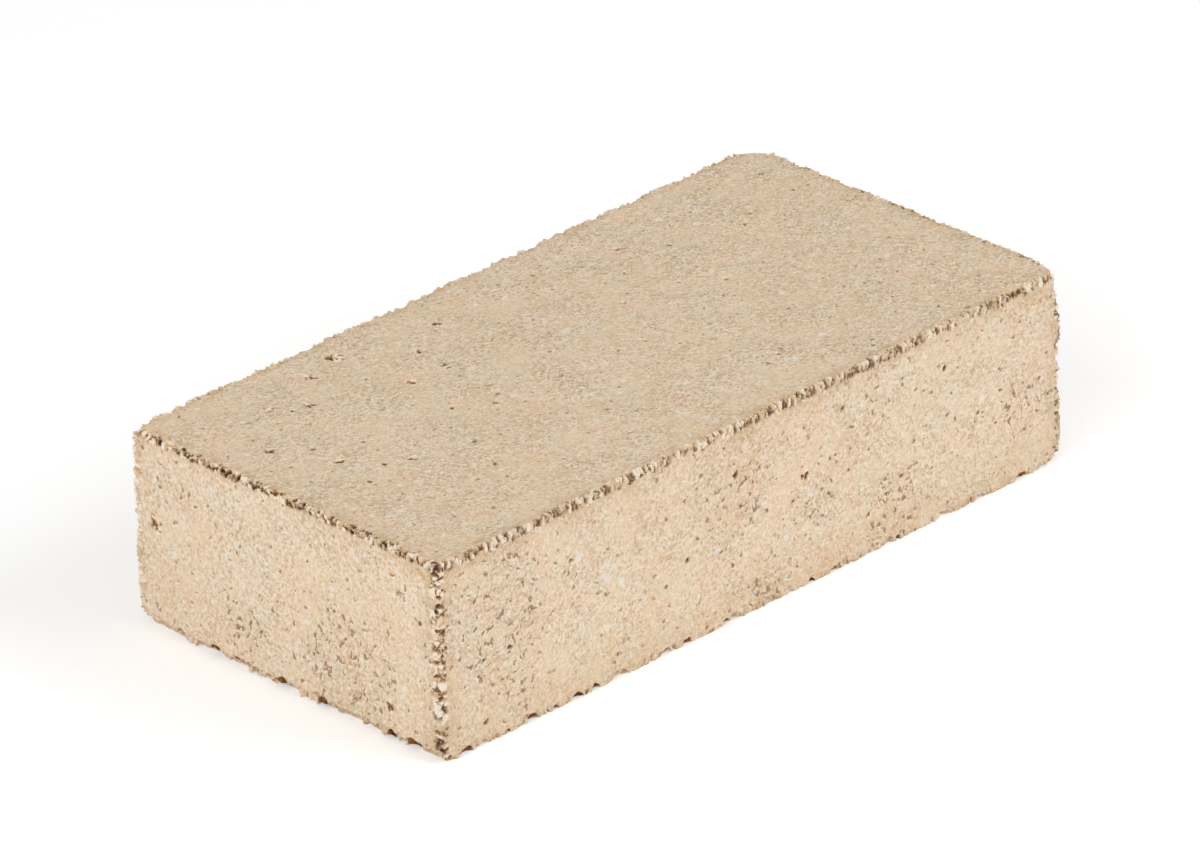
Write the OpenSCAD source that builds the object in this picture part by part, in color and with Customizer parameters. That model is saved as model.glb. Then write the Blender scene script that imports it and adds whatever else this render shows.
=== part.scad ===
// Fire brick: one pressed and fired block of fireclay and grog, with crumbled
// arrises and broken corners. Millimetres, +Z up. The brick lies on its bed face,
// with its length along X, and the origin is the middle of that bed.

/* [Block] */
// Length of the stretcher faces, along X
length = 230; // [190:1:300]
// Width of the bed faces, along Y
width = 114; // [90:1:160]
// Thickness between the two beds, along Z
thickness = 57; // [30:1:90]

/* [Arrises] */
// How far an arris is broken back where it is at its sharpest
arris_break = 0.5; // [0.3:0.05:1.5]
// How much further a row of small crumbs takes it back
crumble = 1.1; // [0:0.1:3]
// Distance between one crumb and the next
crumb_pitch = 3.1; // [2:0.1:8]
// Length of each facet along an arris
facet_length = 1.9; // [1.2:0.1:6]
// Scale of the single chips knocked out of the arrises
chip_scale = 1; // [0:0.05:1.6]

/* [Corners] */
// Scale of the pieces broken off the eight corners
corner_scale = 1; // [0.5:0.05:1.5]
// Another number gives another brick from the same mould
batch = 7; // [1:1:99]

/* [Hidden] */

// How far each cutter stands out of the block, so that no two faces coincide
overshoot = 1;
block = [length, width, thickness];

// An arris runs along X (0), Y (1) or Z (2). Its two sides say which end of the
// other two axes it lies at: for X they are Y and Z, for Y they are Z and X, and
// for Z they are X and Y. A chip is [place, reach, depth]: its middle as a share of
// the arris, half its length, and how far it goes into both faces.
ARRISES = [
    [0, -1,  1, [[0.10, 4, 1.1], [0.31, 5, 1.0], [0.47, 3, 1.3], [0.62, 4, 0.9], [0.93, 4, 1.9]]],
    [0, -1, -1, [[0.06, 3, 1.3], [0.20, 3, 1.1], [0.27, 3, 1.4], [0.36, 3, 1.3], [0.46, 3, 1.5],
                 [0.55, 6, 0.8], [0.71, 3, 1.1], [0.80, 3, 1.6], [0.87, 3, 1.4], [0.97, 3, 1.5]]],
    [0,  1,  1, [[0.20, 3, 0.7], [0.41, 14, 0.9], [0.80, 3, 0.7]]],
    [0,  1, -1, [[0.18, 5, 1.8], [0.66, 6, 1.5]]],
    [1,  1, -1, [[0.15, 4, 1.0], [0.38, 4, 1.2], [0.64, 5, 1.5], [0.88, 4, 1.9], [0.96, 4, 2.3]]],
    [1, -1, -1, [[0.08, 4, 1.0], [0.27, 9, 1.5], [0.50, 3, 1.1], [0.73, 10, 1.3], [0.92, 6, 1.5]]],
    [1,  1,  1, [[0.42, 5, 0.7]]],
    [1, -1,  1, [[0.22, 5, 1.6], [0.58, 4, 1.3]]],
    [2, -1, -1, [[0.28, 4, 1.5], [0.62, 3, 1.3], [0.86, 4, 1.2]]],
    [2, -1,  1, [[0.14, 4, 0.5], [0.48, 4, 0.6]]],
    [2,  1, -1, [[0.46, 9, 0.7], [0.90, 5, 1.3]]],
    [2,  1,  1, [[0.50, 6, 2.0], [0.85, 6, 2.6]]],
];

// A corner is its three ends, along X, Y and Z, and how far its break runs along each.
CORNERS = [
    [[-1, -1,  1], [3.2, 3.0, 3.4]],
    [[-1,  1,  1], [3.5, 4.0, 3.5]],
    [[ 1, -1,  1], [4.5, 4.0, 5.0]],
    [[ 1,  1,  1], [11.0, 10.0, 6.0]],
    [[-1, -1, -1], [4.0, 4.0, 3.0]],
    [[-1,  1, -1], [5.5, 7.0, 4.0]],
    [[ 1, -1, -1], [4.0, 3.5, 3.0]],
    [[ 1,  1, -1], [5.0, 6.0, 5.0]],
];

// A number from 0 to 1 that is fixed for each whole number i and seed.
function hash(i, seed) =
    let (v = sin(i * 127.1 + seed * 311.7 + batch * 74.7) * 4375.85) v - floor(v);

// The same numbers joined by smooth steps, one every pitch along s.
function wander(s, pitch, seed) =
    let (i = floor(s / pitch), t = s / pitch - i, w = t * t * (3 - 2 * t))
    hash(i, seed) * (1 - w) + hash(i + 1, seed) * w;

// Depth of the deepest chip at s on an arris of length run: each is a parabola.
function chip_depth(s, run, chips) =
    max([for (c = chips) c[2] * chip_scale * max(0, 1 - pow((s - c[0] * run) / c[1], 2))]);

// How far the break reaches into one face at s along the arris.
function reach_in(s, run, seed, chips) =
    arris_break + crumble * pow(wander(s, crumb_pitch, seed), 2)
    + chip_depth(s, run, chips) * (0.75 + 0.5 * wander(s, crumb_pitch / 2, seed + 40));

// One section across the break, in the plane of the two faces: out past the corner,
// along one face, over two knuckles of broken clay, and out past the other face.
function section(s, run, seed, chips) =
    let (a = reach_in(s, run, seed, chips),
         b = reach_in(s, run, seed + 20, chips),
         k = 0.24 + 0.16 * wander(s, facet_length, seed + 60),
         m = 0.24 + 0.16 * wander(s, facet_length, seed + 80),
         first = [a * (1 - k), b * k],
         second = [a * m, b * (1 - m)])
    [[-overshoot, -overshoot],
     [a + (a - first.x) / first.y * overshoot, -overshoot],
     first,
     second,
     [-overshoot, b + (b - second.y) / second.x * overshoot]];

// A closed body carried through equal rings of points: skins between them and two ends.
module skin(rings) {
    n = len(rings[0]);
    last = (len(rings) - 1) * n;
    points = [for (ring = rings) each ring];
    sides = [for (k = [0:len(rings) - 2], i = [0:n - 1])
        let (a = k * n + i, b = k * n + (i + 1) % n)
        each [[a, a + n, b + n], [a, b + n, b]]];
    first_end = [for (i = [0:n - 1]) i];
    last_end = [for (i = [n - 1:-1:0]) last + i];
    polyhedron(points, concat([first_end], sides, [last_end]));
}

// What has crumbled off an arris that starts at the origin and runs along X, with
// the block on its +Y and +Z side.
module crumbled_arris(run, seed, chips) {
    steps = ceil(run / facet_length);
    skin([for (k = [-1:steps + 1])
        let (s = k * run / steps)
        [for (p = section(s, run, seed, chips)) [s, p.x, p.y]]]);
}

// What has broken off a corner that lies at the origin: six facets that meet at a
// knuckle inside the block. The break runs out along each arris, and on each face a
// shoulder between two arrises rounds it.
module broken_corner(legs, seed) {
    e = -overshoot;
    far = legs * corner_scale + [for (i = [0:2]) overshoot * (1 + hash(i, seed))];
    knuckle = [for (i = [0:2]) far[i] * (0.2 + 0.1 * hash(i + 3, seed))];
    shoulder = [for (i = [0:2]) far[i] * (0.32 + 0.08 * hash(i + 6, seed))];
    points = [
        [far.x, e, e], [shoulder.x, shoulder.y, e],
        [e, far.y, e], [e, shoulder.y, shoulder.z],
        [e, e, far.z], [shoulder.x, e, shoulder.z],
    ];
    outside = [for (i = [0:5]) [6, i, (i + 1) % 6]];
    broken = [for (i = [0:5]) [(i + 1) % 6, i, 7]];
    polyhedron(concat(points, [[e, e, e], knuckle]), concat(outside, broken));
}

// Moves what is made at the corner of the block where X, Y and Z are least to the
// ends given, by mirroring it in the block's own middle planes.
module at_ends(ends) {
    mirror([ends.x > 0 ? 1 : 0, 0, 0])
        mirror([0, ends.y > 0 ? 1 : 0, 0])
            mirror([0, 0, ends.z > 0 ? 1 : 0])
                translate(-block / 2) children();
}

module fire_brick() {
    color("#e2cdb0") translate([0, 0, thickness / 2]) difference() {
        cube(block, center = true);
        for (i = [0:len(ARRISES) - 1]) {
            arris = ARRISES[i];
            along = arris[0];
            sides = [0, arris[1], arris[2]];
            at_ends([for (axis = [0:2]) sides[(axis - along + 3) % 3]])
                rotate(120 * along, [1, 1, 1])
                    crumbled_arris(block[along], i, arris[3]);
        }
        for (i = [0:len(CORNERS) - 1])
            at_ends(CORNERS[i][0]) broken_corner(CORNERS[i][1], i);
    }
}

fire_brick();
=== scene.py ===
"""A fire brick of pressed fireclay and grog, lying on its bed on a pale floor.

Everything is in metres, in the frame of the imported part: +X along the brick, +Z up, the origin in the
middle of the bed it lies on. The brick's surface is worked out in millimetres.
"""
import math

import bpy
import numpy as np
from mathutils import Matrix, Vector


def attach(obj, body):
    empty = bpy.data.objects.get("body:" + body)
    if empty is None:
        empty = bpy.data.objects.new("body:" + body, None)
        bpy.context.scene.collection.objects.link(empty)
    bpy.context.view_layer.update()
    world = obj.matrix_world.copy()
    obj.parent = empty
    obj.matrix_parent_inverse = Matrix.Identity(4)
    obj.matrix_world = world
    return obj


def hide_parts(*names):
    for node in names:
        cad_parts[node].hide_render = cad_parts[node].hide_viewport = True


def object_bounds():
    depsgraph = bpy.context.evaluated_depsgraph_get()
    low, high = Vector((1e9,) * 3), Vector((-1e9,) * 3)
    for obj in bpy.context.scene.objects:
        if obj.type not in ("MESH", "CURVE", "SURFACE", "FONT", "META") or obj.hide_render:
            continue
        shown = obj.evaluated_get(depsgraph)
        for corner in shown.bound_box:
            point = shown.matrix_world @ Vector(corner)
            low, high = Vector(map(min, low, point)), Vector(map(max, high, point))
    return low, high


MM = 0.001

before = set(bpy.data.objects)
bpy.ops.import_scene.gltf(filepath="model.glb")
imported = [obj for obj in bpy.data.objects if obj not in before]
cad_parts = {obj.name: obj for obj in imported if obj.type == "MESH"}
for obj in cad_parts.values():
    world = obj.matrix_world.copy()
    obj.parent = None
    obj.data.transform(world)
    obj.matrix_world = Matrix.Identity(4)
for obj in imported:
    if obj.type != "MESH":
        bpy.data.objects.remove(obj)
cad_low, cad_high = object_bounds()
BLOCK_LOW, BLOCK_HIGH = (np.array(corner) / MM for corner in (cad_low, cad_high))
BLOCK_MIDDLE = (BLOCK_LOW + BLOCK_HIGH) / 2
BLOCK_HALF = (BLOCK_HIGH - BLOCK_LOW) / 2
# Where the left header, the front stretcher, the back stretcher and the upper bed lie.
LEFT, FRONT = np.round(BLOCK_LOW[:2], 3)
_, BACK, TOP = np.round(BLOCK_HIGH, 3)

# ---------------------------------------------------------------- noise, in millimetres

# Odd numbers that the three indices of a cell and the seed are multiplied by.
CELL_FACTORS = (73856093, 19349663, 83492791)
SEED_FACTOR = 40503
# How far down the high bits are folded, and the factor that spreads them again, in two rounds.
ROUNDS = ((16, 0x7FEB352D), (15, 0x846CA68B))
WORD_BITS = 32
# The share of a cell that a grain's middle keeps away from the cell's sides.
GRAIN_MARGIN = 0.15
# More cells than any grain is away.
FAR_AWAY = 9.0


def chance(cells, seed):
    """A number from 0 to 1 for each whole-number cell: its three indices and the seed, each times
    an odd number, are added up, and the high bits are folded back into the low ones."""
    mixed = (cells.astype(np.int64) * CELL_FACTORS).sum(-1) + seed * SEED_FACTOR
    mixed = mixed.astype(np.uint32)
    for shift, factor in ROUNDS:
        mixed = (mixed ^ (mixed >> np.uint32(shift))) * np.uint32(factor)
    mixed ^= mixed >> np.uint32(WORD_BITS // 2)
    return mixed.astype(np.float64) / 2.0 ** WORD_BITS


def ramp(x, low, high):
    """0 below low, 1 above high, and a smooth step 3t^2 - 2t^3 between them."""
    t = np.clip((x - low) / (high - low), 0, 1)
    return t * t * (3 - 2 * t)


def drift(points, size, seed):
    """Smooth noise from 0 to 1 with one knot every size: the chances of the eight corners of
    each cell, blended by smooth steps along the three axes."""
    place = points / size
    cell = np.floor(place)
    t = place - cell
    t = t * t * (3 - 2 * t)
    total = np.zeros(len(points))
    for corner in np.ndindex(2, 2, 2):
        weight = np.prod(np.where(np.array(corner) == 1, t, 1 - t), axis=1)
        total += weight * chance(cell + corner, seed)
    return total


def bend(points, size, reach, seed):
    """The points moved by smooth noise, up to half of reach along each axis."""
    return points + reach * (np.stack([drift(points, size, seed + a) for a in range(3)], -1) - 0.5)


def nearest_grain(points, pitch, seed):
    """The grain that each point is nearest to, where a grain lies at a chance place in each cell
    of a cubic lattice. Gives the distance to its middle, the distance to the second nearest, and
    two chance numbers that belong to the grain."""
    place = points / pitch
    cell = np.floor(place)
    first = np.full(len(points), FAR_AWAY)
    second = np.full(len(points), FAR_AWAY)
    owner = np.zeros_like(cell)
    for step in np.ndindex(3, 3, 3):
        near = cell + step - 1
        shift = np.stack([chance(near, seed + a) for a in range(3)], -1)
        middle = near + GRAIN_MARGIN + (1 - 2 * GRAIN_MARGIN) * shift
        distance = np.linalg.norm(place - middle, axis=1)
        closer = distance < first
        second = np.where(closer, first, np.minimum(second, distance))
        first = np.where(closer, distance, first)
        owner[closer] = near[closer]
    return first * pitch, second * pitch, chance(owner, seed + 5), chance(owner, seed + 6)


# ---------------------------------------------------------------- the block and its mesh

# Pitch of the lattice that the surface is worked out on, and how many triangles are kept of it.
LATTICE_PITCH = 0.34
KEPT_TRIANGLES = 197000
# How deep inside an arris the lines meet along which the surface is moved in and out.
SPINE_DEPTH = 5.0
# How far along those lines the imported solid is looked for.
PROJECT_LIMIT = 12.0
# Space between two faces of the block in the flat layout.
LAYOUT_GAP = 3.0
# Two triangles that turn by more than this many degrees meet at a sharp edge.
SHARP_TURN = 32


def block_lattice():
    """Points on the six faces of the block, on one lattice, with what two or three faces share
    kept once, and the quads between them. Each face is a grid of two of the three lattice
    indices. Also gives each quad corner's place in a flat layout of the six faces."""
    sizes = 2 * BLOCK_HALF
    counts = np.round(sizes / LATTICE_PITCH).astype(int)
    # The layout is a square with the beds and the stretchers in one column, in these rows, and
    # the two headers beside them.
    rows = {(2, 1): 0, (2, 0): 1, (1, 0): 2, (1, 1): 3, (0, 0): 0, (0, 1): 1}
    heights = [sizes[1], sizes[1], sizes[2], sizes[2]]
    side = sum(heights) + (len(heights) + 1) * LAYOUT_GAP
    keys, quads_uv = [], []
    for axis, end in np.ndindex(3, 2):
        across, up = ((1, 2), (0, 2), (0, 1))[axis]
        turn = (axis == 1) != (end == 0)
        grid = np.zeros((counts[across] + 1, counts[up] + 1, 3), int)
        grid[..., across] = np.arange(counts[across] + 1)[:, None]
        grid[..., up] = np.arange(counts[up] + 1)[None, :]
        grid[..., axis] = end * counts[axis]
        key = np.ravel_multi_index(tuple(np.moveaxis(grid, -1, 0)), tuple(counts + 1))
        u = grid[..., across] / counts[across] * sizes[across]
        v = grid[..., up] / counts[up] * sizes[up]
        if turn:
            u = sizes[across] - u
        row = rows[(axis, end)]
        if axis == 0:
            left, low = sizes[0] + 2 * LAYOUT_GAP, LAYOUT_GAP + row * (sizes[2] + LAYOUT_GAP)
        else:
            left, low = LAYOUT_GAP, sum(heights[:row]) + (row + 1) * LAYOUT_GAP
        flat = np.stack([(u + left) / side, (v + low) / side], -1)
        ring = ((0, 0), (1, 0), (1, 1), (0, 1))
        if turn:
            ring = ring[::-1]
        pick = [np.s_[i:i + counts[across], j:j + counts[up]] for i, j in ring]
        keys.append(np.stack([key[p] for p in pick], -1).reshape(-1, 4))
        quads_uv.append(np.stack([flat[p] for p in pick], 2).reshape(-1, 4, 2))
    keys, quads_uv = np.concatenate(keys), np.concatenate(quads_uv)
    used, quads = np.unique(keys, return_inverse=True)
    index = np.stack(np.unravel_index(used, tuple(counts + 1)), -1)
    points = BLOCK_LOW + index / counts * sizes
    return points, quads.reshape(-1, 4), quads_uv


def spine_and_way_out(points):
    """The nearest point of a smaller block, whose faces lie one spine depth further in, and the
    way out of the block from there. It leans from one face to the next near an arris."""
    inner = BLOCK_HALF - SPINE_DEPTH
    centred = points - BLOCK_MIDDLE
    spine = np.clip(centred, -inner, inner)
    out = centred - spine
    return spine + BLOCK_MIDDLE, out / np.linalg.norm(out, axis=1, keepdims=True)


def face_shares(out):
    """How much of a header, a stretcher and a bed the surface is, each from 0 to 1, as the way out
    along X, Y and Z goes from 0.6 to 0.95."""
    return [ramp(np.abs(out[:, axis]), 0.6, 0.95) for axis in range(3)]


def place_points(mesh, points):
    """Puts a mesh's points where they are given, in millimetres."""
    mesh.vertices.foreach_set("co", (points * MM).astype(np.float32).ravel())


def mesh_of(name, points, quads, quads_uv):
    """A mesh from whole arrays, points in millimetres, with the flat layout as its UV map."""
    mesh = bpy.data.meshes.new(name)
    mesh.vertices.add(len(points))
    place_points(mesh, points)
    mesh.loops.add(quads.size)
    mesh.loops.foreach_set("vertex_index", quads.astype(np.int32).ravel())
    mesh.polygons.add(len(quads))
    mesh.polygons.foreach_set("loop_start", np.arange(0, quads.size, 4, dtype=np.int32))
    mesh.update(calc_edges=True)
    layer = mesh.uv_layers.new(name="OFBake")
    layer.uv.foreach_set("vector", quads_uv.astype(np.float32).ravel())
    return mesh


def points_of(mesh):
    """A mesh's points, in millimetres."""
    flat = np.empty(len(mesh.vertices) * 3, np.float32)
    mesh.vertices.foreach_get("co", flat)
    return flat.reshape(-1, 3).astype(float) / MM


def settle(piece):
    """Makes a piece's modifiers part of its mesh."""
    graph = bpy.context.evaluated_depsgraph_get()
    mesh = bpy.data.meshes.new_from_object(
        piece.evaluated_get(graph), preserve_all_data_layers=True, depsgraph=graph)
    piece.modifiers.clear()
    piece.data = mesh


# ---------------------------------------------------------------- relief of the clay, in millimetres

# Where the mould tore the clay of the upright faces most: X, Y, Z and reach.
TORN_PATCHES = [
    (-94, FRONT, 28, 18), (-8, FRONT, 34, 15), (103, FRONT, 22, 13), (52, FRONT, 10, 12),
    (LEFT, -22, 16, 20), (LEFT, 18, 12, 10),
]
# Grains that were scraped out of the faces: X, Y, Z and half their width.
SCARS = [
    (-64, 43, TOP, 2.3), (-52, 47, TOP, 2.9), (-34, 33, TOP, 1.6), (-35, 22, TOP, 1.7), (-48, 23, TOP, 2.2),
    (-20, 42, TOP, 2.0), (3, 40, TOP, 1.4), (10, 35, TOP, 1.3), (-84, 38, TOP, 1.7), (-76, 32, TOP, 1.4),
    (55, 30, TOP, 1.4), (22, 14, TOP, 1.3), (23, -38, TOP, 1.3), (0, -31, TOP, 1.4), (-92, 4, TOP, 1.4),
    (-78, -9, TOP, 1.3), (-100, 20, TOP, 1.6), (-60, -14, TOP, 1.3),
    (LEFT, 49, 31, 2.7), (LEFT, -2, 12, 1.2), (LEFT, -38, 9, 1.4), (LEFT, -30, 22, 1.0),
    (-8, FRONT, 42, 1.8), (-22, FRONT, 11, 1.4), (18, FRONT, 33, 2.0), (41, FRONT, 12, 1.3),
    (70, FRONT, 44, 1.4),
]
# How wide the lumps of torn clay are, and how deep the clay is gone between them.
LUMP_WIDTH, LUMP_DEPTH = 2.6, 0.42
# One grain of grog in each cube of this size may have come out of a face.
LOOSE_PITCH = 2.8
# How deep a scar is where it is a pit, and where it is broken grain.
SCAR_DEPTH, SCAR_GRAIN_DEPTH = 0.45, 0.05

ALONG_X, ALONG_Y, ALONG_Z = range(3)
# How near to an arris a point is that its crumbling can reach.
ARRIS_REACH = 4.5
# The clay along an arris is a pack of grains, laid out at one pitch, and each is broken again at
# a smaller one. The pack itself came away in blocks.
GRAIN_PITCH, FRAGMENT_PITCH, BLOCK_PITCH = 1.3, 0.75, 4.5
# How deep the clefts between two grains are, and those between two fragments.
CLEFT_DEPTH, FRAGMENT_CLEFT_DEPTH = 0.75, 0.1
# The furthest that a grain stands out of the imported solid.
OUTSTAND = 0.9
# The arrises along X, Y and Z crumbled in their own ways, so what follows has three values. First,
# how far the grains would stand out of the solid's break, at the arrises above and at those
# round the lower bed.
UPPER_STAND = np.array([1.10, 1.15, 1.75])
LOWER_STAND = np.array([1.60, 0.40, 1.75])
# How many times as long the grains are in X, Y and Z as the pitch they are laid out at, in a row
# for each of the three. They stand across the arris, because the mould tore them so.
GRAIN_STRETCH = np.array([[0.80, 2.2, 2.2], [1.6, 0.9, 1.6], [1.6, 1.6, 0.9]])
# The share of the grains that fell out, and how dark the hollows that they left are painted, with brown
# stain and painted shade.
FALLEN_SHARE = np.array([0.52, 0.61, 0.43])
HOLLOW_SHADE = np.array([0.75, 1.0, 0.80])
# How deep the steps between blocks are.
BLOCK_STEP = np.array([1.0, 1.0, 1.5])
# How many times its distance from the arris a point counts as being away, so that a higher value
# makes the crumbled band narrower, and the share by which that is higher on the beds.
NARROWNESS = np.array([0.80, 1.0, 0.90])
BED_NARROWNESS = np.array([1.1, 0.25, 0.8])
# An arris of the lower bed is cut into lengths, and a share of these have lost a whole grain.
LOST_LENGTH, LOST_SHARE = 8.0, 0.40
# The least depth of the hole that such a grain left.
LOST_DEPTH = 0.6


def torn_patches(points, out):
    """How torn the clay of the upright faces is, from 0 to 1: in patches where slow noise is high,
    and in the ones that are placed, each of which fades out between 0.6 and 1.1 of its reach."""
    header, stretcher, _ = face_shares(out)
    torn = (stretcher + 0.6 * header) * ramp(drift(points, 22, 8), 0.55, 0.80)
    for x, y, z, reach in TORN_PATCHES:
        away = np.linalg.norm(points - (x, y, z), axis=1) / reach + 0.5 * (drift(points, 6, 12) - 0.5)
        torn = np.maximum(torn, (stretcher + header) * (1 - ramp(away, 0.6, 1.1)))
    return torn


def loose_grains(points, torn, bed):
    """Single grains of grog, 0.7 to 2.1 mm wide, that came out of the faces and left round pits, most
    of them where the clay is torn and fewest on the beds. Gives the depth of the pits, 0.25 to
    0.75 mm and half of that on the beds, and how far inside a pit each point is, from 0 to 1."""
    loose = 0.070 + 0.020 * (1 - bed) + 0.12 * torn
    first, _, pick, size = nearest_grain(bend(points, 1.0, 1.0, 11), LOOSE_PITCH, 20)
    radius = 0.35 + 0.70 * size ** 2
    pit = (pick < loose) * (1 - ramp(first / radius, 0.45, 1.05))
    return pit * (0.25 + 0.5 * size) * (1 - 0.5 * bed), pit


def scars(points):
    """Grains of grog that the mould scraped out of the faces, each placed where it is listed. A scar is a
    ball whose outline is bent by noise, and finer noise parts it into pits where it is high and pale,
    broken grain where it is low. Gives how far inside each of the two a point is."""
    pit, grain = np.zeros(len(points)), np.zeros(len(points))
    for x, y, z, half in SCARS:
        close = np.flatnonzero(np.linalg.norm(points - (x, y, z), axis=1) < 3 * half + 2)
        place = bend(bend(points[close], 2.4, 2.2, 90), 0.9, 0.8, 94) - (x, y, z)
        inside = 1 - ramp(np.linalg.norm(place, axis=1) / half, 0.65, 1.05)
        split = 0.5 * drift(points[close], 1.0, 98) + 0.5 * drift(points[close], 0.6, 99)
        pit[close] += inside * ramp(split, 0.45, 0.55)
        grain[close] += inside * (1 - ramp(split, 0.33, 0.43))
    return np.clip(pit, 0, 1), np.clip(grain, 0, 1)


def arris_stain(points, near, out):
    """How brown the clay is stained by the fire, from 0 to 1. A strip along each arris fades out
    from 1.2 to 4.2 mm, wider on the stretchers and on a header near the front stretcher, fainter
    at the foot of a stretcher and at the back of a header. The lowest 17 mm of the stretchers
    are stained too. Noise of 3.4 mm and 1.3 mm breaks both into patches."""
    header, stretcher, _ = face_shares(out)
    by_front = header * (points[:, 1] < FRONT + 12)
    strip = 1 - ramp(near / (1 + 0.8 * stretcher + 1.2 * by_front), 1.2, 4.2)
    at_foot = 1 - 0.5 * (1 - ramp(points[:, 2], 3.0, 6.0)) * stretcher
    at_back = 1 - 0.5 * header * (points[:, 1] > BACK - 7)
    strip *= at_foot * at_back
    patchy = ramp(0.6 * drift(points, 3.4, 31) + 0.4 * drift(points, 1.3, 32), 0.25, 0.65)
    foot = 0.5 * stretcher * (1 - ramp(points[:, 2], 1, 17))
    return np.maximum(strip * (0.25 + 0.75 * patchy), foot * (0.55 + 0.45 * patchy))


def crumbs(points, axis, share):
    """The pack of angular grains along the arrises, which are the cells around chance points. A
    share of them have fallen out and left hollows 0.8 to 1.7 mm deep. The others stand at chance
    heights, from 0.5 mm out to 0.4 mm in, with narrow clefts between them. Each grain is broken
    again into fragments, and some of these are gone. Gives the depth, and how pale each grain is."""
    packed = bend(points, 0.7, 0.6, 11) / GRAIN_STRETCH[axis]
    first, second, pick, size = nearest_grain(packed, GRAIN_PITCH, 40)
    wall = ramp(second - first, 0.06, 0.34)
    stands = pick > share
    top = np.where(stands, 0.9 * size - 0.5, 0.8 + 0.9 * size)
    depth = top * wall + CLEFT_DEPTH * (1 - wall)
    pale = stands * wall * (0.20 + 0.80 * ramp(pick, 0.60, 0.88))
    first, second, pick, size = nearest_grain(packed, FRAGMENT_PITCH, 60)
    wall = ramp(second - first, 0.04, 0.24)
    top = np.where(pick < 0.6 * share, 0.35 + 0.45 * size, 0.25 * size - 0.1)
    depth += top * wall + FRAGMENT_CLEFT_DEPTH * (1 - wall)
    return depth, pale


def lost_grains(points, near, axis):
    """Single grains of grog, two to six millimetres long, that came away from an arris whole. Some
    lengths of the arris have lost one, near their middle. Half its length is 0.9 mm and 2.0 mm
    times a chance number to the power 1.5, and the hole it left is an ellipse along the arris
    and away from it. Gives how far inside such a hole each point is, from 0 to 1."""
    bent = bend(points, 1.4, 1.3, 15)
    run = np.take_along_axis(bent, axis[:, None], 1)[:, 0] / LOST_LENGTH
    # Each length of each arris has a cell of its own, for its chance numbers.
    ends = np.where(np.arange(3) == axis[:, None], 0, np.sign(points - BLOCK_MIDDLE))
    key = ends + 9 * np.floor(run)[:, None]
    middle = np.floor(run) + 0.35 + 0.3 * chance(key, 80)
    half = 0.9 + 2.0 * chance(key, 81) ** 1.5
    across = 1.8 + 0.4 * half + 0.9 * (axis == ALONG_Y)
    away = np.hypot((run - middle) * LOST_LENGTH / half, near / across)
    return (chance(key, 82) < LOST_SHARE) * (1 - ramp(away, 0.65, 1.0))


def crumbled_arrises(points, out, room, near):
    """The broken clay along the arrises, for points within their reach. A point's room is its
    distance from the nearest face across X, Y and Z, and near is its distance from the arris.
    The depth is that of the crumbs and of the steps between blocks, less how far the clay stands there, in
    a band about 2 mm wide whose edge is bent by noise. No grain stands out further than OUTSTAND, and where
    a whole grain is lost the depth is LOST_DEPTH or more. At the corners of the block the clay stands lower
    and more of it fell out. Gives the depth, how dark the hollows are painted, which is brown stain with
    painted shade, darkest in the deepest hollows and in the holes of lost grains, and how pale the grains
    are."""
    axis = np.argmax(room, axis=1)
    _, _, bed = face_shares(out)
    # Which points lie near the lower bed, on an upright arris at the back, and near a corner.
    low = 1 - ramp(points[:, 2], 3.0, 5.0)
    back = (axis == ALONG_Z) * (points[:, 1] > 0)
    tip = 1 - ramp(np.max(room, axis=1), 3.0, 8.0)

    # The band is narrower on the beds, on the stretcher's side of an upright arris, and at the
    # foot of a stretcher.
    upright = (axis == ALONG_Z) * (2 * ramp(np.abs(out[:, 1]), 0.5, 0.9) - 0.9)
    near = near * (1 + BED_NARROWNESS[axis] * bed) * (1 + 0.35 * upright)
    near *= NARROWNESS[axis] * (1 + 0.6 * low * (axis == ALONG_X))
    band = 1 - ramp(near + 1.2 * (drift(points, 2.2, 9) - 0.5), 1.4, 2.8)

    depth, pale = crumbs(points, axis, FALLEN_SHARE[axis] - 0.12 * low + 0.15 * tip)
    depth *= 1 + 0.4 * back
    depth *= 1 - 0.6 * bed
    lost = lost_grains(points, near, axis) * low
    # The hollows are painted darker the deeper they are: brown stain with painted shade.
    dark = ramp(depth, 0.60, 1.30) * band * (1 - 0.5 * low * (1 - tip))
    dark *= HOLLOW_SHADE[axis] * (1 - 0.8 * back)
    pale = pale * band * (1 - dark) * (1 - lost) * (1 - 0.7 * bed) * (1 - 0.7 * low)

    blocks = bend(points, 3.0, 3.0, 17) / np.where(np.arange(3) == axis[:, None], 1.0, 2.0)
    _, _, _, step = nearest_grain(blocks, BLOCK_PITCH, 50)
    step *= BLOCK_STEP[axis]
    stand = UPPER_STAND[axis] * (1 - low) + LOWER_STAND[axis] * low + 0.35 * back - 0.7 * tip
    rough = np.maximum((depth + step - stand) * band, -OUTSTAND)
    rough += lost * (np.maximum(rough, LOST_DEPTH) - rough)
    # The hole of a lost grain is painted dark as well: stain with a painted shadow.
    return rough, np.maximum(dark, ramp(lost, 0.2, 0.7)), pale


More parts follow.
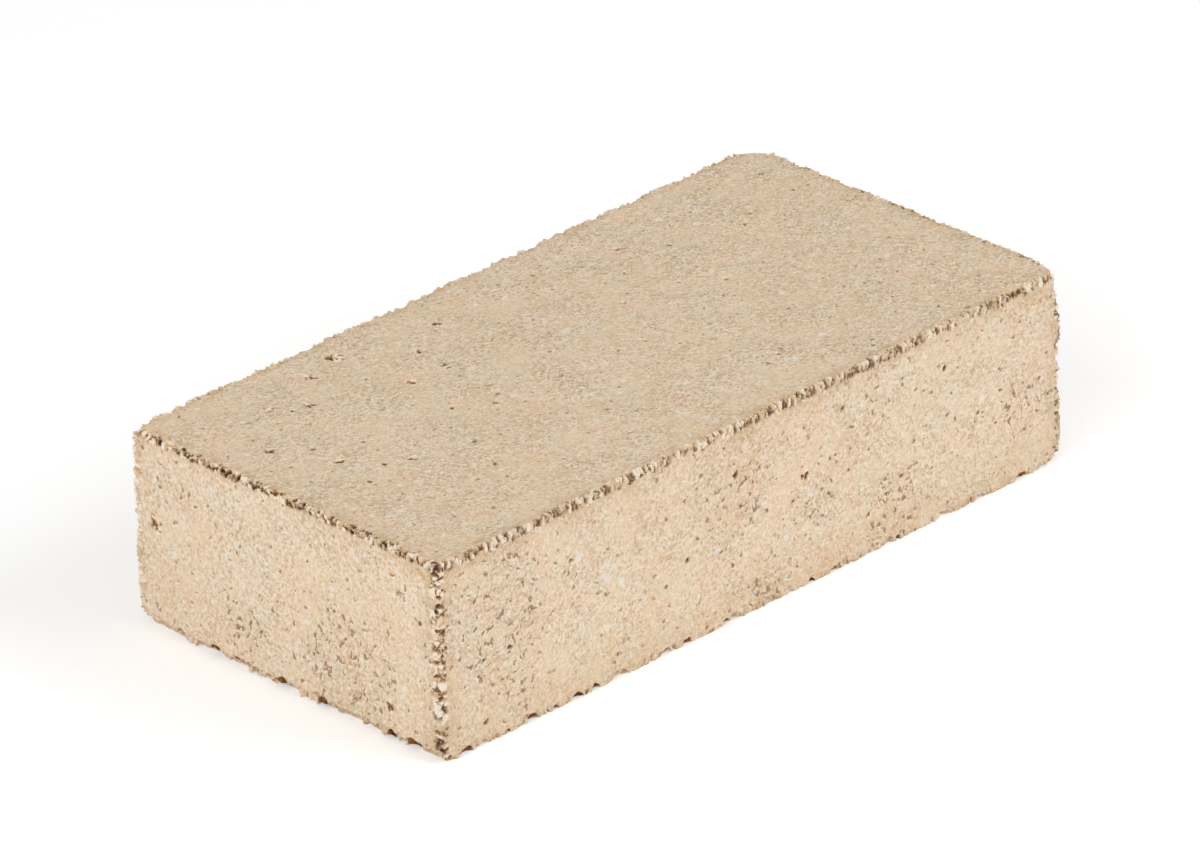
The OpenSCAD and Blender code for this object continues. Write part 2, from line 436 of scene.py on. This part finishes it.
def relief(points):
    """Depth in millimetres that is taken off the surface at each point: slow waves of the clay, lumps where
    it is torn, pits of loose grains and scars, and what crumbled along the arrises. With it comes what the
    finish follows, each from 0 to 1: a dark pit, which is brown stain with painted shade, a pale grain, the
    stain along an arris, how torn the clay is, and how much of it is an upright face rather than a bed."""
    _, out = spine_and_way_out(points)
    _, _, bed = face_shares(out)
    torn = torn_patches(points, out)
    depth = 0.10 * drift(points, 21, 1) + 0.05 * drift(points, 6, 2)
    depth += LUMP_DEPTH * torn * (1 - ramp(drift(points, LUMP_WIDTH, 3), 0.38, 0.60))
    pit_depth, pit = loose_grains(points, torn, bed)
    scar, scar_grain = scars(points)
    depth += pit_depth
    depth += SCAR_DEPTH * scar + SCAR_GRAIN_DEPTH * scar_grain
    # Pits and scars are painted dark: brown stain with painted shade.
    dark = np.maximum(0.85 * pit, 0.9 * scar)
    pale = 0.8 * scar_grain

    room = BLOCK_HALF - np.abs(points - BLOCK_MIDDLE)
    near = np.sort(room, axis=1)[:, 1]
    stain = arris_stain(points, near, out)
    close = near < ARRIS_REACH
    broken, hollow, grain = crumbled_arrises(points[close], out[close], room[close], near[close])
    depth[close] += broken
    dark[close] = np.maximum(dark[close], hollow)
    pale[close] = np.maximum(pale[close], grain)
    return depth, {"pit": dark, "grain": pale, "stain": stain, "torn": torn, "side": 1 - bed}


def held_in_block(points, out, depth):
    """The depth, made no more negative than lets each point reach the block's own faces on its way
    out: the least of the three distances along that way to the faces it goes towards. A way that
    runs along a face never reaches it."""
    faces = np.where(out > 0, BLOCK_HIGH, BLOCK_LOW)
    steep = np.abs(out) > 1e-4
    room = np.where(steep, (faces - points) / np.where(steep, out, 1), np.inf)
    return np.maximum(depth, -np.maximum(room.min(axis=1), 0))


def fire_brick_mesh(cad_node):
    """The block's lattice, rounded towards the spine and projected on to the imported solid, with
    the relief taken off along the same lines, thinned where it lies flat."""
    flat_points, quads, quads_uv = block_lattice()
    spine, out = spine_and_way_out(flat_points)
    mesh = mesh_of("fire_brick_surface", spine + SPINE_DEPTH * out, quads, quads_uv)
    piece = bpy.data.objects.new("fire_brick_surface", mesh)
    bpy.context.scene.collection.objects.link(piece)
    wrap = piece.modifiers.new("on_the_solid", "SHRINKWRAP")
    wrap.target = cad_node
    wrap.wrap_method = "PROJECT"
    wrap.use_positive_direction = True
    wrap.use_negative_direction = True
    wrap.project_limit = PROJECT_LIMIT * MM
    settle(piece)

    points = points_of(piece.data)
    depth, finish = relief(points)
    place_points(piece.data, points - out * held_in_block(points, out, depth)[:, None])
    for name, values in finish.items():
        layer = piece.data.attributes.new(name, "FLOAT", "POINT")
        layer.data.foreach_set("value", values.astype(np.float32))
    thin = piece.modifiers.new("thinned", "DECIMATE")
    thin.ratio = KEPT_TRIANGLES / (2 * len(quads))
    thin.use_collapse_triangulate = True
    settle(piece)
    # The thinning puts some points up to 0.01 mm outside the block, so they are moved on to it.
    place_points(piece.data, np.clip(points_of(piece.data), BLOCK_LOW, BLOCK_HIGH))
    piece.data.polygons.foreach_set("use_smooth", np.ones(len(piece.data.polygons), bool))
    piece.data.set_sharp_from_angle(angle=math.radians(SHARP_TURN))
    return piece


# ---------------------------------------------------------------- materials

MATH, RANGE, MIX = "ShaderNodeMath", "ShaderNodeMapRange", "ShaderNodeMix"
NOISE, VECTOR, MAPPING = "ShaderNodeTexNoise", "ShaderNodeVectorMath", "ShaderNodeMapping"
WHITE = (1, 1, 1, 1)
# How far outside a lump every point is, in millimetres, where a cell has none.
NO_LUMP = -9.0


def colour(text):
    """An sRGB hex colour as linear red, green, blue and alpha."""
    channels = [int(text[i:i + 2], 16) / 255 for i in (1, 3, 5)]
    linear = [c / 12.92 if c <= 0.04045 else ((c + 0.055) / 1.055) ** 2.4 for c in channels]
    return (*linear, 1.0)


def new_material(name):
    """An empty material, and the tree that its nodes go into."""
    material = bpy.data.materials.new(name)
    material.use_nodes = True
    material.node_tree.nodes.clear()
    return material, material.node_tree


def add(tree, kind, links=None, **settings):
    """Adds a node, sets its own properties and its inputs by name or number, and links it. A node
    given for an input stands for its first output in use. Gives back the node."""
    node = tree.nodes.new(kind)
    for name, value in settings.items():
        setattr(node, name, value)
    for socket, source in (links or {}).items():
        if isinstance(source, bpy.types.Node):
            source = next(output for output in source.outputs if output.enabled)
        if isinstance(source, bpy.types.NodeSocket):
            tree.links.new(source, node.inputs[socket])
        else:
            node.inputs[socket].default_value = source
    return node


def painted(tree, body, coats):
    """Lays coats over a colour, one after another. A coat is a node that says how strong it is,
    from 0 to 1 as it goes from low to high, then low, high, how strong it gets, and its colour."""
    for strength, low, high, most, tint in coats:
        reach = {"From Min": low, "From Max": high, "To Max": most}
        factor = add(tree, RANGE, {"Value": strength, **reach})
        body = add(tree, MIX, {"Factor": factor, "A": body, "B": tint}, data_type="RGBA")
    return body


def lumps(tree, place, pitch, share, radius):
    """Round lumps in the clay, one at most in each cell of a Voronoi pattern whose cells are pitch
    wide, in a share of the cells, and from 0.55 to 1.45 times the radius. Gives how far inside a
    lump a point is, from 0 at its rim in millimetres, and a chance number of the lump's own."""
    cells = add(tree, "ShaderNodeTexVoronoi", {"Vector": place, "Scale": 1 / pitch, "Randomness": 0.85})
    chances = add(tree, "ShaderNodeSeparateColor", {"Color": cells.outputs["Color"]})
    picked, size, tint = (chances.outputs[name] for name in ("Red", "Green", "Blue"))
    reach = add(tree, MATH, {0: size, 1: 0.9 * radius, 2: 0.55 * radius}, operation="MULTIPLY_ADD")
    away = cells.outputs["Distance"]
    within = add(tree, MATH, {0: away, 1: -pitch, 2: reach}, operation="MULTIPLY_ADD")
    absent = add(tree, MATH, {0: picked, 1: share}, operation="GREATER_THAN")
    return add(tree, MATH, {0: absent, 1: NO_LUMP, 2: within}, operation="MULTIPLY_ADD"), tint


def specks(tree, place, side):
    """Pits about 1 mm wide where grit came out, painted brown with painted shade in them. A chance number
    of each pit's own, to the power 3.5, says how dark it is, so that most are faint. The darkest reach 0.92
    on the upright faces and 0.52 on the beds, and the faintest 0.12."""
    within, tint = lumps(tree, place, 1.6, 0.55, 0.50)
    strength = add(tree, MATH, {0: tint, 1: 3.5}, operation="POWER")
    most = add(tree, MATH, {0: side, 1: 0.40, 2: 0.40}, operation="MULTIPLY_ADD")
    strength = add(tree, MATH, {0: strength, 1: most, 2: 0.12}, operation="MULTIPLY_ADD")
    return add(tree, RANGE, {"Value": within, "From Min": -0.15, "From Max": 0.25, "To Max": strength})


def clefts(tree, place, far, torn):
    """Lumps of clay about 3 mm wide, which are where a noise is above its middle, and the clefts
    round them. Those are the contour at the noise's middle, broken up by a second noise, and more
    of it is left where the face is torn. Gives how open the clefts are, and how far the lumps
    stand out."""
    upright = add(tree, MAPPING, {"Vector": place, "Scale": (1.15, 1.15, 0.70)})
    lump = add(tree, NOISE, {"Vector": upright, "Scale": 1 / 3.0, "Detail": 2.0, "Roughness": 0.55})
    off = add(tree, MATH, {0: lump, 1: 0.5}, operation="SUBTRACT")
    away = add(tree, MATH, {0: off}, operation="ABSOLUTE")
    slot = add(tree, RANGE, {"Value": away, "From Min": 0.070, "From Max": 0.025})
    level = add(tree, MATH, {0: torn, 1: -0.145, 2: 0.728}, operation="MULTIPLY_ADD")
    broken = add(tree, NOISE, {"Vector": far, "Scale": 1 / 2.0, "Detail": 0.0})
    above = add(tree, MATH, {0: broken, 1: level}, operation="SUBTRACT")
    opened = add(tree, RANGE, {"Value": above, "From Min": 0.0, "From Max": 0.07})
    raised = add(tree, RANGE, {"Value": off, "From Min": -0.04, "From Max": 0.06})
    return (add(tree, MATH, {0: slot, 1: opened}, operation="MULTIPLY"),
            add(tree, MATH, {0: raised, 1: torn}, operation="MULTIPLY"))


def pressed_fireclay():
    """Fireclay with crushed grog, pressed in a mould and fired: a matt cream body with fine brown grit,
    grains of pale grog, clefts where the mould tore the upright faces, and along the arrises brown hollows
    where grains fell out of the ochre clay. The specks, clefts and hollows are painted brown with painted
    shade in them, and the lower lips of the specks and clefts carry a painted highlight."""
    material, tree = new_material("pressed_fireclay")
    place = add(tree, "ShaderNodeTexCoord").outputs["Object"]
    mm = add(tree, VECTOR, {0: place, 1: (1 / MM, 1 / MM, 1 / MM)}, operation="MULTIPLY")
    far = add(tree, MAPPING, {"Vector": mm, "Location": (40.0, 7.0, 91.0)})
    side, pit, grain, stain, torn = (add(tree, "ShaderNodeAttribute", attribute_name=name).outputs["Fac"]
                                     for name in ("side", "pit", "grain", "stain", "torn"))

    # The outlines of lumps and clefts are bent by noise of about a millimetre.
    wobble = add(tree, NOISE, {"Vector": mm, "Scale": 1 / 1.0, "Detail": 3.0}).outputs["Color"]
    bent, eased = (add(tree, VECTOR, {0: wobble, 1: (reach, reach, reach), 2: mm},
                       operation="MULTIPLY_ADD") for reach in (1.6, 0.7))

    # Clouds of colour 40, 10 and 9 mm wide, from how the clay was mixed and fired.
    broad, cloud = (add(tree, NOISE, {"Vector": far, "Scale": 1 / size, "Detail": 1.0})
                    for size in (40, 10))
    blush = add(tree, NOISE, {"Vector": mm, "Scale": 1 / 9, "Detail": 1.0})
    # The grit in the clay is 0.2 to 0.5 mm wide, which is too fine to show, so it is drawn at
    # 1.5 mm and 0.8 mm. It is rougher in some patches than in others, which are 14 mm wide.
    crumb = add(tree, NOISE, {"Vector": far, "Scale": 1 / 1.5, "Detail": 2.0})
    grit = add(tree, NOISE, {"Vector": mm, "Scale": 1 / 0.80, "Detail": 3.0})
    rough = add(tree, NOISE, {"Vector": mm, "Scale": 1 / 14, "Detail": 2.0})
    rough_range = {"From Min": 0.35, "From Max": 0.65, "To Min": 0.65, "To Max": 1.45}
    spread = add(tree, RANGE, {"Value": rough, **rough_range})
    shade = add(tree, MATH, {0: crumb, 1: 0.6, 2: grit}, operation="MULTIPLY_ADD")
    shade = add(tree, MATH, {0: shade, 1: 0.8}, operation="SUBTRACT")
    shade = add(tree, MATH, {0: shade, 1: spread}, operation="MULTIPLY")

    # Pale grog, finer flecks of it, and lumps of clay that fired ochre.
    grog, _ = lumps(tree, bent, 5.0, 0.17, 0.9)
    chaff, _ = lumps(tree, far, 1.3, 0.42, 0.34)
    ochre, _ = lumps(tree, bent, 8.0, 0.16, 1.8)
    speck = specks(tree, bent, side)
    cleft, raised = clefts(tree, eased, far, torn)
    # A painted highlight on the lower lip of each pit and cleft, where light from above would catch it: the
    # same pattern lies under them in a pale colour, 0.4 mm further down.
    bent, eased, far = (add(tree, MAPPING, {"Vector": vector, "Location": (0.0, 0.2, 0.4)})
                        for vector in (bent, eased, far))
    speck_highlight = specks(tree, bent, side)
    cleft_highlight, _ = clefts(tree, eased, far, torn)

    # The hollows, brown stain with painted shade, are mottled, and darker along the arrises than in the
    # faces.
    mottle = add(tree, NOISE, {"Vector": far, "Scale": 1 / 1.8, "Detail": 2.0})
    mottle = add(tree, RANGE, {"Value": mottle, "From Min": 0.42, "From Max": 0.60})
    in_arris, in_face = (
        add(tree, MIX, {"Factor": mottle, "A": colour(dark), "B": colour(light)}, data_type="RGBA")
        for dark, light in (("#402003", "#885414"), ("#5c3a08", "#a06e22")))
    hollow = add(tree, MIX, {"Factor": stain, "A": in_face, "B": in_arris}, data_type="RGBA")
    # The beds' clay is a little darker and warmer than that of the upright faces; its darkness is painted
    # shade for the upper bed.
    bed_clay, side_clay = colour("#e9d2b2"), colour("#edd8bc")
    clay = add(tree, MIX, {"Factor": side, "A": bed_clay, "B": side_clay}, data_type="RGBA")
    body = painted(tree, clay, [
        (blush, 0.38, 0.66, 0.8, colour("#eed0b1")),
        (broad, 0.45, 0.65, 0.20, colour("#dec39e")),
        (cloud, 0.56, 0.74, 0.18, colour("#e0d8ca")),
        (ochre, -0.6, 1.2, 0.30, colour("#dfb877")),
        (shade, 0.0, -0.28, 0.48, colour("#b4894c")),
        (shade, 0.0, 0.24, 0.66, colour("#fff3de")),
        (chaff, -0.05, 0.2, 0.5, colour("#fff5e4")),
        (grog, -0.1, 0.3, 0.70, colour("#f3ede2")),
        (stain, 0.0, 1.0, 0.38, colour("#bd9863")),
        # Painted highlights on the lower lips of the specks and clefts.
        (speck_highlight, 0.0, 0.6, 0.8, colour("#fff3de")),
        (cleft_highlight, 0.0, 1.0, 0.6, colour("#fff3de")),
        # The specks and clefts: brown, with painted shade in them.
        (speck, 0.0, 1.0, 1.0, colour("#825203")),
        (cleft, 0.0, 1.0, 0.74, colour("#8c5803")),
        (grain, 0.1, 0.5, 0.90, colour("#feeed6")),
        (grain, 0.6, 0.9, 0.75, colour("#ece6dc")),
        # The hollows: brown stain with painted shade.
        (pit, 0.1, 0.9, 1.0, hollow),
    ])

    # Relief too fine for the mesh, in millimetres: the grit, times how rough it is there, and on
    # it the lumps, which stand out, and the specks and clefts, which lie deeper.
    height = add(tree, MATH, {0: grit, 1: 0.40}, operation="MULTIPLY")
    height = add(tree, MATH, {0: crumb, 1: 0.42, 2: height}, operation="MULTIPLY_ADD")
    height = add(tree, MATH, {0: height, 1: spread}, operation="MULTIPLY")
    for part, rise in ((raised, 0.30), (speck, -0.06), (cleft, -0.05)):
        height = add(tree, MATH, {0: part, 1: rise, 2: height}, operation="MULTIPLY_ADD")
    bump = add(tree, "ShaderNodeBump", {"Strength": 1.0, "Distance": MM, "Height": height})
    matt = {"Base Color": body, "Roughness": 0.93, "Normal": bump}
    shader = add(tree, "ShaderNodeBsdfPrincipled", matt)
    add(tree, "ShaderNodeOutputMaterial", {"Surface": shader})
    return material


def floor_paper():
    """A roll of plain matt paper. The camera sees it with a little light of its own added, so that it
    runs into the white behind it and keeps the brick's shadow."""
    material, tree = new_material("floor_paper")
    seen = add(tree, "ShaderNodeLightPath").outputs["Is Camera Ray"]
    paper = add(tree, "ShaderNodeBsdfDiffuse", {"Color": colour("#f2f2f2")})
    lift = add(tree, MATH, {0: seen, 1: 0.33}, operation="MULTIPLY")
    glow = add(tree, "ShaderNodeEmission", {"Color": WHITE, "Strength": lift})
    both = add(tree, "ShaderNodeAddShader", {0: paper, 1: glow})
    add(tree, "ShaderNodeOutputMaterial", {"Surface": both})
    return material


# ---------------------------------------------------------------- floor, light and camera

# Half the side of the floor, how far off the lamps and the camera stand, and how far the camera
# sees, in metres.
FLOOR_REACH = 3
LAMP_DISTANCE = 2.0
CAMERA_DISTANCE, CAMERA_SIGHT = 2.633, 50
# The camera's film and lens in millimetres, what it looks at, and its bearing and roll in degrees.
FILM_WIDTH, LENS_LENGTH = 36, 299.37
CAMERA_TARGET = Vector((4.7, 6.2, 28.5)) * MM
CAMERA_BEARING, CAMERA_ROLL = (-44.29, 27.14), -1.35


def pale_floor():
    """A level square of paper at the height of the brick's bed."""
    mesh = bpy.data.meshes.new("floor")
    ring = [(x * FLOOR_REACH, y * FLOOR_REACH, 0) for x, y in ((-1, -1), (1, -1), (1, 1), (-1, 1))]
    mesh.from_pydata(ring, [], [(0, 1, 2, 3)])
    mesh.materials.append(floor_paper())
    floor = bpy.data.objects.new("floor", mesh)
    bpy.context.scene.collection.objects.link(floor)


def stand_off(obj, target, bearing, distance, roll=0.0):
    """Puts a lamp or the camera where it looks at the target from a distance. Its bearing is the
    angle round from the brick's front stretcher, then the angle above the floor. Both are in
    degrees, as is the roll, which turns it about the line it looks along."""
    azimuth, height = (math.radians(angle) for angle in bearing)
    away = Vector((math.sin(azimuth) * math.cos(height), -math.cos(azimuth) * math.cos(height),
                   math.sin(height)))
    turned = away.to_track_quat("Z", "Y").to_matrix().to_4x4()
    turned = turned @ Matrix.Rotation(math.radians(roll), 4, "Z")
    obj.matrix_world = Matrix.Translation(target + distance * away) @ turned
    bpy.context.scene.collection.objects.link(obj)


def soft_box(name, bearing, size, watts):
    """A square lamp that is turned to the middle of the brick, and that the camera doesn't see."""
    light = bpy.data.lights.new(name, "AREA")
    light.size = size
    light.energy = watts
    lamp = bpy.data.objects.new(name, light)
    lamp.visible_camera = False
    stand_off(lamp, (cad_low + cad_high) / 2, bearing, LAMP_DISTANCE)


def camera():
    """A long lens, to the left of the brick's front stretcher and above it."""
    lens = bpy.data.cameras.new("camera")
    lens.sensor_width = FILM_WIDTH
    lens.lens = LENS_LENGTH
    lens.clip_end = CAMERA_SIGHT
    eye = bpy.data.objects.new("camera", lens)
    stand_off(eye, CAMERA_TARGET, CAMERA_BEARING, CAMERA_DISTANCE, CAMERA_ROLL)
    bpy.context.scene.camera = eye


def daylight():
    """Even light from all round, and plain white where the camera looks past the floor."""
    world = bpy.data.worlds.new("studio")
    world.use_nodes = True
    bpy.context.scene.world = world
    tree = world.node_tree
    tree.nodes.clear()
    seen = add(tree, "ShaderNodeLightPath").outputs["Is Camera Ray"]
    soft = add(tree, "ShaderNodeBackground", {"Color": WHITE, "Strength": 0.42})
    white = add(tree, "ShaderNodeBackground", {"Color": WHITE, "Strength": 1.0})
    mixed = add(tree, "ShaderNodeMixShader", {0: seen, 1: soft, 2: white})
    add(tree, "ShaderNodeOutputWorld", {"Surface": mixed})


camera()
daylight()
soft_box("right_soft_box", bearing=(32, 35), size=1.2, watts=16.9)
soft_box("left_soft_box", bearing=(-80, 29), size=2.0, watts=21.9)
pale_floor()

brick = fire_brick_mesh(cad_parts["fire_brick"])
brick.data.materials.append(pressed_fireclay())
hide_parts("fire_brick")
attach(brick, "root")

bpy.context.scene.view_settings.view_transform = "Standard"
